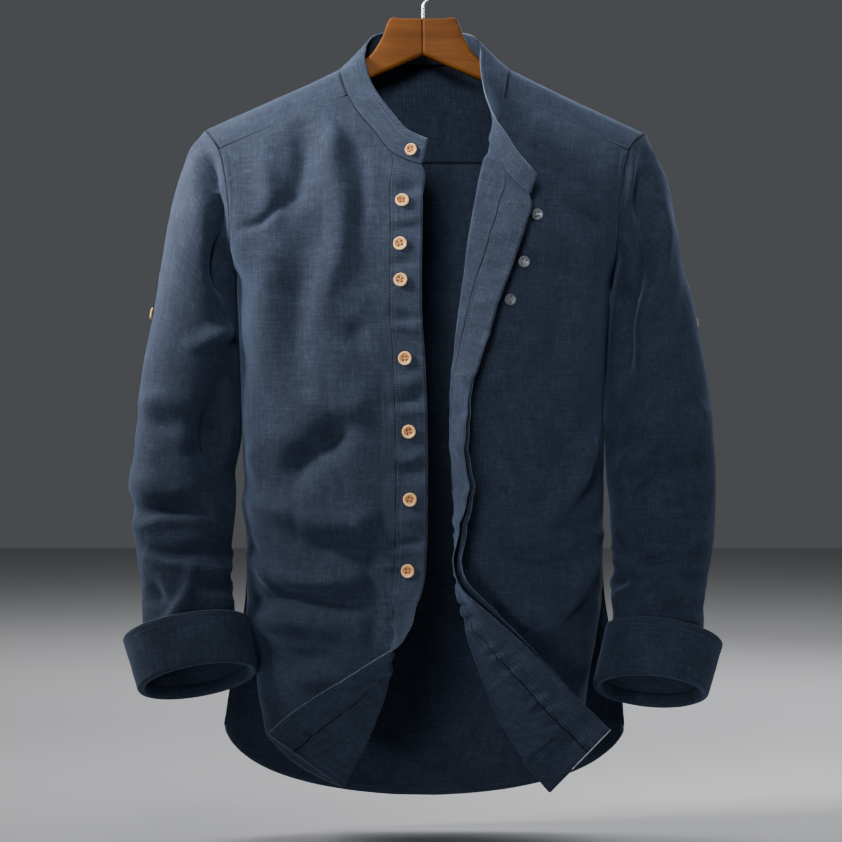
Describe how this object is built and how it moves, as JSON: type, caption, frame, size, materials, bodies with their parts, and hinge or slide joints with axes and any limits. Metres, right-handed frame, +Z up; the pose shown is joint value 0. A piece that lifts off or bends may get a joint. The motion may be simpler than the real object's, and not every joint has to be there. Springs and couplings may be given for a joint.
{
  "type": "mandarin collar shirt on a wooden hanger",
  "caption": "Long-sleeved mandarin collar shirt worn open on a wooden hanger, the upper left front turned back as a lapel, the lower front corners and the cuffs turned out.",
  "frame": {"origin": "underside of the hook's arch, where the hanger hangs on a rail", "axes": "+Z up, -Y the way the shirt's front faces, +X to the wearer's left"},
  "size_m": [0.6202, 0.2794, 0.8953],
  "materials": {
    "shirt_cloth": "matte slubby navy linen and cotton weave",
    "double_cloth": "matte slubby navy linen and cotton weave, two plies, edge stitched",
    "button_wood": "satin light wood, four thread holes",
    "button_metal": "dark gunmetal, satin",
    "hanger_wood": "varnished reddish brown wood",
    "hook_steel": "polished steel wire"
  },
  "bodies": {
    "root": {"back": "shirt_cloth", "yoke": "shirt_cloth", "front_right": "shirt_cloth", "front_left": "shirt_cloth", "sleeve_right": "shirt_cloth", "sleeve_left": "shirt_cloth", "placket_right": "double_cloth", "placket_left": "double_cloth", "placket_left_outer": "double_cloth", "collar": "double_cloth", "cuff_right": "double_cloth", "cuff_left": "double_cloth", "button_1": "button_wood", "button_2": "button_wood", "button_3": "button_wood", "button_4": "button_wood", "button_5": "button_wood", "button_6": "button_wood", "button_7": "button_wood", "collar_button": "button_wood", "sleeve_button_1": "button_wood", "sleeve_button_2": "button_wood", "dark_button_1": "button_metal", "dark_button_2": "button_metal", "dark_button_3": "button_metal", "hanger_arm_right": "hanger_wood", "hanger_arm_left": "hanger_wood", "hanger_hook": "hook_steel"}
  },
  "joints": []
}
